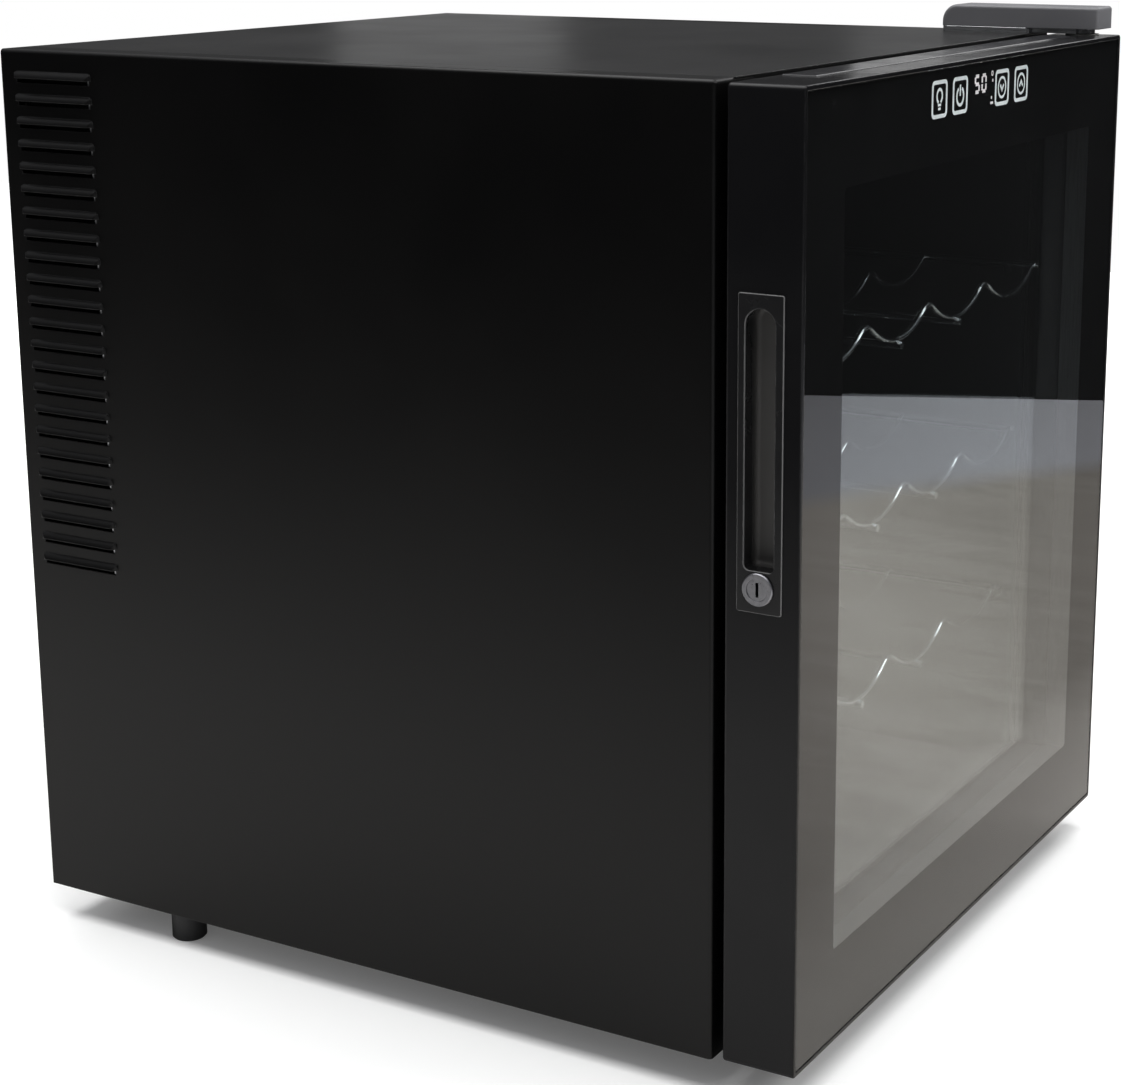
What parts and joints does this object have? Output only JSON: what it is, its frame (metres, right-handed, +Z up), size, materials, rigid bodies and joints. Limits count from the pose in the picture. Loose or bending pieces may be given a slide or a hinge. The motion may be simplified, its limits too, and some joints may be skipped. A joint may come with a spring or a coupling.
{
  "type": "wine cooler",
  "caption": "Free-standing thermoelectric wine cooler: black steel cabinet with side louvres, framed glass door with side grip and lock, wavy wire racks, touch controls.",
  "frame": {"origin": "middle of the bounding box's footprint, at floor level", "axes": "+Z up, -Y towards the door, +X towards the hinge side"},
  "size_m": [0.4352, 0.49, 0.526],
  "materials": {
    "side_steel": "satin",
    "top_steel": "satin",
    "base_steel": "matte",
    "rear_steel": "satin",
    "foam": "matte",
    "zinc_sheet": "satin",
    "liner_plastic": "satin",
    "duct_plastic": "satin",
    "sink_aluminium": "satin",
    "module_ceramic": "matte",
    "fan_plastic": "satin",
    "guard_chrome": "polished",
    "board_green": "satin",
    "inlet_plastic": "gloss",
    "lamp_white": "satin",
    "lamp_clear": "gloss",
    "sensor_plastic": "satin",
    "foot_plastic": "matte",
    "nut_steel": "satin",
    "hinge_zinc": "satin",
    "hinge_cover_plastic": "satin",
    "screw_steel": "satin",
    "screw_black": "satin",
    "keeper_plastic": "matte",
    "rack_chrome": "polished",
    "door_plastic": "gloss",
    "door_glass": "gloss",
    "spacer_black": "satin",
    "clear_glass": "gloss",
    "door_liner_plastic": "satin",
    "gasket_rubber": "matte",
    "handle_plastic": "gloss",
    "lock_metal": "satin",
    "cam_steel": "satin",
    "display_plastic": "gloss",
    "sensor_pads": "satin",
    "strip_plastic": "gloss",
    "bush_plastic": "satin"
  },
  "bodies": {
    "cabinet": {"base_plate": "base_steel", "bottom_hinge_pin": "hinge_zinc", "bottom_hinge_plate": "hinge_zinc", "cold_block": "sink_aluminium", "cold_heatsink": "sink_aluminium", "duct_cover": "duct_plastic", "duct_screws": "screw_steel", "fan_guard": "guard_chrome", "fan_screws": "screw_steel", "foam_backing_plate": "zinc_sheet", "foam_insulation": "foam", "heatsink_screws": "screw_steel", "hinge_cover": "hinge_cover_plastic", "hinge_screws": "screw_steel", "hot_heatsink": "sink_aluminium", "inlet_screws": "screw_black", "inner_fan_frame": "fan_plastic", "lamp_board": "lamp_white", "lamp_lens": "lamp_clear", "left_panel": "side_steel", "leveller_nuts": "nut_steel", "liner": "liner_plastic", "lock_keeper": "keeper_plastic", "outer_fan_frame": "fan_plastic", "peltier_module": "module_ceramic", "power_board": "board_green", "power_inlet": "inlet_plastic", "rear_feet": "foot_plastic", "rear_panel": "rear_steel", "rear_panel_screws": "screw_black", "right_panel": "side_steel", "temperature_sensor": "sensor_plastic", "top_hinge_pin": "hinge_zinc", "top_hinge_plate": "hinge_zinc", "top_panel": "top_steel"},
    "door": {"door_frame": "door_plastic", "front_glass": "door_glass", "glass_spacer": "spacer_black", "inner_glass": "clear_glass", "door_liner": "door_liner_plastic", "door_gasket": "gasket_rubber", "gasket_magnets": "gasket_rubber", "handle_insert": "handle_plastic", "lock_barrel": "lock_metal", "control_board": "board_green", "display_module": "display_plastic", "touch_sensors": "sensor_pads", "control_cover": "strip_plastic", "top_bush": "bush_plastic", "bottom_bush": "bush_plastic"},
    "lock": {"lock_plug": "lock_metal", "lock_cam": "cam_steel", "cam_nut": "nut_steel"},
    "inner_fan": {"inner_fan_rotor": "fan_plastic"},
    "outer_fan": {"outer_fan_rotor": "fan_plastic"},
    "left_leveller": {"leveller_left": "foot_plastic"},
    "right_leveller": {"leveller_right": "foot_plastic"},
    "top_rack": {"rack_top": "rack_chrome"},
    "middle_rack": {"rack_middle": "rack_chrome"},
    "bottom_rack": {"rack_bottom": "rack_chrome"}
  },
  "joints": [
    {"name": "door_hinge", "type": "hinge", "parent": "cabinet", "child": "door", "pos_m": [0.203, -0.225, 0.265], "axis": [0, 0, 1], "range_deg": [0, 115]},
    {"name": "lock_turn", "type": "hinge", "parent": "door", "child": "lock", "pos_m": [-0.2, -0.2237, 0.271], "axis": [1, 0, 0], "range_deg": [0, 90]},
    {"name": "inner_fan_spin", "type": "hinge", "parent": "cabinet", "child": "inner_fan", "pos_m": [0, 0.118, 0.3], "axis": [0, 1, 0], "continuous": true},
    {"name": "outer_fan_spin", "type": "hinge", "parent": "cabinet", "child": "outer_fan", "pos_m": [0, 0.226, 0.3], "axis": [0, 1, 0], "continuous": true},
    {"name": "left_foot_screw", "type": "slide", "parent": "cabinet", "child": "left_leveller", "axis": [0, 0, -1], "range_m": [0, 0.008]},
    {"name": "right_foot_screw", "type": "slide", "parent": "cabinet", "child": "right_leveller", "axis": [0, 0, -1], "range_m": [0, 0.008]},
    {"name": "top_rack_slide", "type": "slide", "parent": "cabinet", "child": "top_rack", "axis": [0, -1, 0], "range_m": [-0.029, 0.006]},
    {"name": "middle_rack_slide", "type": "slide", "parent": "cabinet", "child": "middle_rack", "axis": [0, -1, 0], "range_m": [-0.017, 0.018]},
    {"name": "bottom_rack_slide", "type": "slide", "parent": "cabinet", "child": "bottom_rack", "axis": [0, -1, 0], "range_m": [-0.01, 0.025]}
  ]
}
